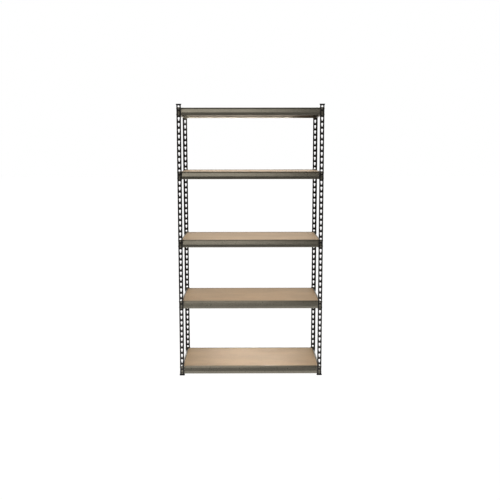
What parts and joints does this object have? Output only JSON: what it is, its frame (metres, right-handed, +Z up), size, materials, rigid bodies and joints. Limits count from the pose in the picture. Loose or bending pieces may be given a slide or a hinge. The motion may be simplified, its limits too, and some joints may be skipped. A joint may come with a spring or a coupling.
{
  "type": "boltless steel shelving",
  "caption": "Free-standing boltless rack: keyhole angle posts, steel beams hung on rivets round every level, and loose board shelves.",
  "frame": {"origin": "on the floor, under the middle of the rack", "axes": "+X to the right seen from the front, -Y the front, +Z up"},
  "size_m": [0.978, 0.465, 1.8373],
  "materials": {
    "post_paint": "black powder coat, semi-gloss",
    "beam_paint": "olive grey hammertone enamel, glossy",
    "rivet": "olive grey enamel over steel",
    "plastic": "moulded black polypropylene",
    "board": "raw fibreboard, lightly sanded"
  },
  "bodies": {
    "root": {"post_front_left_lower": "post_paint", "post_front_left_upper": "post_paint", "post_front_right_lower": "post_paint", "post_front_right_upper": "post_paint", "post_rear_right_lower": "post_paint", "post_rear_right_upper": "post_paint", "post_rear_left_lower": "post_paint", "post_rear_left_upper": "post_paint", "cap_front_left": "plastic", "foot_front_left": "plastic", "cap_front_right": "plastic", "foot_front_right": "plastic", "cap_rear_right": "plastic", "foot_rear_right": "plastic", "cap_rear_left": "plastic", "foot_rear_left": "plastic"},
    "level_1": {"beam_1_front": "beam_paint", "beam_1_right": "beam_paint", "beam_1_rear": "beam_paint", "beam_1_left": "beam_paint", "rivets_1": "rivet"},
    "board_1": {"board_1": "board"},
    "level_2": {"beam_2_front": "beam_paint", "beam_2_right": "beam_paint", "beam_2_rear": "beam_paint", "beam_2_left": "beam_paint", "rivets_2": "rivet"},
    "board_2": {"board_2": "board"},
    "level_3": {"beam_3_front": "beam_paint", "beam_3_right": "beam_paint", "beam_3_rear": "beam_paint", "beam_3_left": "beam_paint", "rivets_3": "rivet"},
    "board_3": {"board_3": "board"},
    "level_4": {"beam_4_front": "beam_paint", "beam_4_right": "beam_paint", "beam_4_rear": "beam_paint", "beam_4_left": "beam_paint", "rivets_4": "rivet"},
    "board_4": {"board_4": "board"},
    "level_5": {"beam_5_front": "beam_paint", "beam_5_right": "beam_paint", "beam_5_rear": "beam_paint", "beam_5_left": "beam_paint", "rivets_5": "rivet"},
    "board_5": {"board_5": "board"}
  },
  "joints": [
    {"name": "unhook_level_1", "type": "slide", "parent": "root", "child": "level_1", "axis": [0, 0, 1], "range_m": [0, 0.0147]},
    {"name": "lift_out_board_1", "type": "slide", "parent": "level_1", "child": "board_1", "axis": [0, 0, 1], "range_m": [0, 0.15]},
    {"name": "unhook_level_2", "type": "slide", "parent": "root", "child": "level_2", "axis": [0, 0, 1], "range_m": [0, 0.0147]},
    {"name": "lift_out_board_2", "type": "slide", "parent": "level_2", "child": "board_2", "axis": [0, 0, 1], "range_m": [0, 0.15]},
    {"name": "unhook_level_3", "type": "slide", "parent": "root", "child": "level_3", "axis": [0, 0, 1], "range_m": [0, 0.0147]},
    {"name": "lift_out_board_3", "type": "slide", "parent": "level_3", "child": "board_3", "axis": [0, 0, 1], "range_m": [0, 0.15]},
    {"name": "unhook_level_4", "type": "slide", "parent": "root", "child": "level_4", "axis": [0, 0, 1], "range_m": [0, 0.0147]},
    {"name": "lift_out_board_4", "type": "slide", "parent": "level_4", "child": "board_4", "axis": [0, 0, 1], "range_m": [0, 0.15]},
    {"name": "unhook_level_5", "type": "slide", "parent": "root", "child": "level_5", "axis": [0, 0, 1], "range_m": [0, 0.0147]},
    {"name": "lift_out_board_5", "type": "slide", "parent": "level_5", "child": "board_5", "axis": [0, 0, 1], "range_m": [0, 0.15]}
  ]
}
